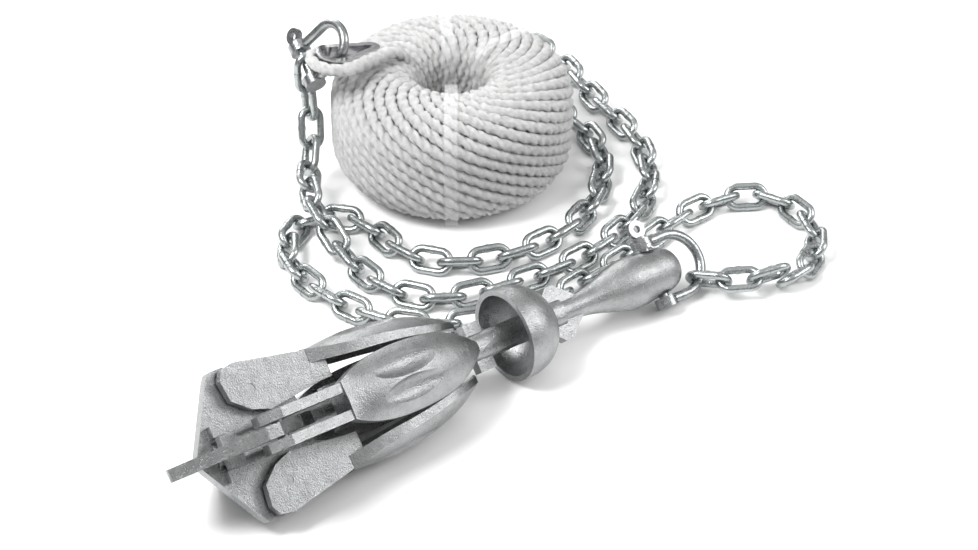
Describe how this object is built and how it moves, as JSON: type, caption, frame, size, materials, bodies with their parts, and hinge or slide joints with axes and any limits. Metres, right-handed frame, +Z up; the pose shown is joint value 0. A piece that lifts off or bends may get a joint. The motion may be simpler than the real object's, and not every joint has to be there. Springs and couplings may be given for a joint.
{
  "type": "folding grapnel boat anchor",
  "caption": "Folding grapnel boat anchor with hinged flukes, a sliding lock collar, shackles, a short welded chain and a coil of rope with a thimble eye.",
  "frame": {"origin": "on the floor, under the middle of the footprint of the anchor, its chain and its shackles (the rope is left out)", "axes": "+X along the anchor's shank from the crown to the ring, +Y towards the coil, +Z up"},
  "size_m": [0.5887, 0.4304, 0.1423],
  "materials": {
    "anchor_galvanised": "hot-dip galvanised casting, satin and slightly grainy",
    "pin_zinc": "zinc coated, flush ends",
    "shackle_zinc": "bright zinc, satin",
    "chain_zinc": "bright zinc with a faint cool tint",
    "thimble_steel": "polished stainless",
    "rope_white": "silky white three-strand rope",
    "tie_clear": "thin clear film"
  },
  "bodies": {
    "shank": {"shank": "anchor_galvanised", "hinge_pin_upper_right": "pin_zinc", "hinge_pin_lower_right": "pin_zinc", "hinge_pin_lower_left": "pin_zinc", "hinge_pin_upper_left": "pin_zinc", "chain_loop_start": "chain_zinc", "chain_loop_return": "chain_zinc", "chain_outer_front": "chain_zinc", "chain_crown_turn": "chain_zinc", "chain_inner_front": "chain_zinc", "chain_inner_side": "chain_zinc", "chain_back_turn": "chain_zinc", "chain_middle_side": "chain_zinc", "chain_middle_front": "chain_zinc", "chain_crossing": "chain_zinc", "chain_climb": "chain_zinc", "thimble": "thimble_steel", "rope_eye": "rope_white", "rope_coil": "rope_white", "coil_tie_front": "tie_clear", "coil_tie_side": "tie_clear", "coil_tie_back": "tie_clear"},
    "collar": {"collar": "anchor_galvanised"},
    "fluke_upper_right": {"fluke_upper_right": "anchor_galvanised"},
    "fluke_lower_right": {"fluke_lower_right": "anchor_galvanised"},
    "fluke_lower_left": {"fluke_lower_left": "anchor_galvanised"},
    "fluke_upper_left": {"fluke_upper_left": "anchor_galvanised"},
    "anchor_shackle": {"anchor_shackle_bow": "shackle_zinc", "anchor_shackle_pin": "shackle_zinc"},
    "chain_link_1": {"chain_link_1": "chain_zinc"},
    "chain_link_2": {"chain_link_2": "chain_zinc"},
    "chain_link_3": {"chain_link_3": "chain_zinc"},
    "rope_shackle": {"rope_shackle_bow": "shackle_zinc", "rope_shackle_pin": "shackle_zinc"}
  },
  "joints": [
    {"name": "fluke_upper_right_hinge", "type": "hinge", "parent": "shank", "child": "fluke_upper_right", "pos_m": [-0.22028, -0.17753, 0.07245], "axis": [-0.0471, -0.7071, -0.7055], "range_deg": [0, 90]},
    {"name": "fluke_lower_right_hinge", "type": "hinge", "parent": "shank", "child": "fluke_lower_right", "pos_m": [-0.22339, -0.17753, 0.02588], "axis": [-0.0471, 0.7071, -0.7055], "range_deg": [0, 90]},
    {"name": "fluke_lower_left_hinge", "type": "hinge", "parent": "shank", "child": "fluke_lower_left", "pos_m": [-0.22339, -0.13087, 0.02588], "axis": [0.0471, 0.7071, 0.7055], "range_deg": [0, 90]},
    {"name": "fluke_upper_left_hinge", "type": "hinge", "parent": "shank", "child": "fluke_upper_left", "pos_m": [-0.22028, -0.13087, 0.07245], "axis": [0.0471, -0.7071, 0.7055], "range_deg": [0, 90]},
    {"name": "collar_slide", "type": "slide", "parent": "shank", "child": "collar", "axis": [0.9978, 0, -0.0666], "range_m": [-0.04, 0]},
    {"name": "anchor_shackle_swing", "type": "hinge", "parent": "shank", "child": "anchor_shackle", "pos_m": [0.12838, -0.1542, 0.02578], "axis": [-0.0471, -0.7071, -0.7055], "range_deg": [0, 100]},
    {"name": "chain_link_1_swing", "type": "hinge", "parent": "anchor_shackle", "child": "chain_link_1", "pos_m": [0.1609, -0.1635, 0.0115], "axis": [0.7945, 0.4546, 0.4026], "range_deg": [-1, 1]},
    {"name": "chain_link_2_swing", "type": "hinge", "parent": "chain_link_1", "child": "chain_link_2", "pos_m": [0.175, -0.18183, 0.01385], "axis": [-0.4497, -0.2355, 0.8616], "range_deg": [0, 5]},
    {"name": "chain_link_3_swing", "type": "hinge", "parent": "chain_link_2", "child": "chain_link_3", "pos_m": [0.19374, -0.19548, 0.01547], "axis": [0.534, 0.7736, 0.3412], "range_deg": [-10, 2]},
    {"name": "rope_shackle_swing", "type": "hinge", "parent": "shank", "child": "rope_shackle", "pos_m": [0.0186, 0.1427, 0.1036], "axis": [0.19, 0.886, 0.423], "range_deg": [-6, 6]}
  ]
}
